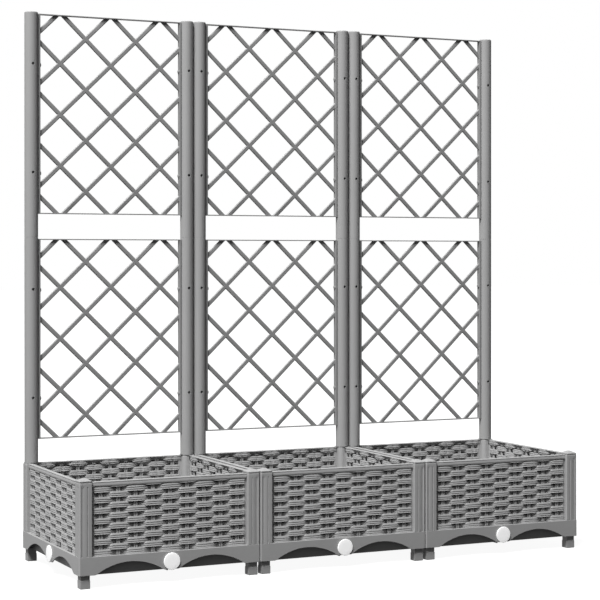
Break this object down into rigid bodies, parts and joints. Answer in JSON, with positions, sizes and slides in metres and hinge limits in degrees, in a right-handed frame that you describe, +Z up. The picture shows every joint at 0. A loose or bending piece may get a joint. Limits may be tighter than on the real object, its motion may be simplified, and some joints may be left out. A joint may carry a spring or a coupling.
{
  "type": "planter with trellis",
  "caption": "Row of square planter boxes with basket-weave sides, arched skirts and feet, and a lattice trellis between round tubes on the back corner posts.",
  "frame": {"origin": "on the ground under the middle of the row", "axes": "+Z up, +X to the right along the row as seen from the front, +Y from the front towards the trellis"},
  "size_m": [1.203, 0.4028, 1.215],
  "materials": {
    "grey_plastic": "light grey moulded plastic with a fine satin grain",
    "white_plastic": "smooth white plastic, blank",
    "plug_rubber": "black soft rubber"
  },
  "bodies": {
    "planter": {"box1_cap_front_left": "grey_plastic", "box1_cap_front_right": "grey_plastic", "box1_lattice_lower": "grey_plastic", "box1_lattice_upper": "grey_plastic", "box1_medallion_front": "white_plastic", "box1_medallion_left": "white_plastic", "box1_panel_back": "grey_plastic", "box1_panel_front": "grey_plastic", "box1_panel_left": "grey_plastic", "box1_panel_right": "grey_plastic", "box1_post_back_left": "grey_plastic", "box1_post_back_right": "grey_plastic", "box1_post_front_left": "grey_plastic", "box1_post_front_right": "grey_plastic", "box1_tray": "grey_plastic", "box1_tube_left_lower": "grey_plastic", "box1_tube_left_upper": "grey_plastic", "box1_tube_right_lower": "grey_plastic", "box1_tube_right_upper": "grey_plastic", "box2_cap_front_left": "grey_plastic", "box2_cap_front_right": "grey_plastic", "box2_lattice_lower": "grey_plastic", "box2_lattice_upper": "grey_plastic", "box2_medallion_front": "white_plastic", "box2_panel_back": "grey_plastic", "box2_panel_front": "grey_plastic", "box2_panel_left": "grey_plastic", "box2_panel_right": "grey_plastic", "box2_post_back_left": "grey_plastic", "box2_post_back_right": "grey_plastic", "box2_post_front_left": "grey_plastic", "box2_post_front_right": "grey_plastic", "box2_tray": "grey_plastic", "box2_tube_left_lower": "grey_plastic", "box2_tube_left_upper": "grey_plastic", "box2_tube_right_lower": "grey_plastic", "box2_tube_right_upper": "grey_plastic", "box3_cap_front_left": "grey_plastic", "box3_cap_front_right": "grey_plastic", "box3_lattice_lower": "grey_plastic", "box3_lattice_upper": "grey_plastic", "box3_medallion_front": "white_plastic", "box3_panel_back": "grey_plastic", "box3_panel_front": "grey_plastic", "box3_panel_left": "grey_plastic", "box3_panel_right": "grey_plastic", "box3_post_back_left": "grey_plastic", "box3_post_back_right": "grey_plastic", "box3_post_front_left": "grey_plastic", "box3_post_front_right": "grey_plastic", "box3_tray": "grey_plastic", "box3_tube_left_lower": "grey_plastic", "box3_tube_left_upper": "grey_plastic", "box3_tube_right_lower": "grey_plastic", "box3_tube_right_upper": "grey_plastic"},
    "drain_plug_left": {"box1_drain_plug": "plug_rubber"},
    "drain_plug_middle": {"box2_drain_plug": "plug_rubber"},
    "drain_plug_right": {"box3_drain_plug": "plug_rubber"}
  },
  "joints": [
    {"name": "lift_left_drain_plug", "type": "slide", "parent": "planter", "child": "drain_plug_left", "axis": [0, 0, 1], "range_m": [0, 0.215]},
    {"name": "lift_middle_drain_plug", "type": "slide", "parent": "planter", "child": "drain_plug_middle", "axis": [0, 0, 1], "range_m": [0, 0.215]},
    {"name": "lift_right_drain_plug", "type": "slide", "parent": "planter", "child": "drain_plug_right", "axis": [0, 0, 1], "range_m": [0, 0.215]}
  ]
}
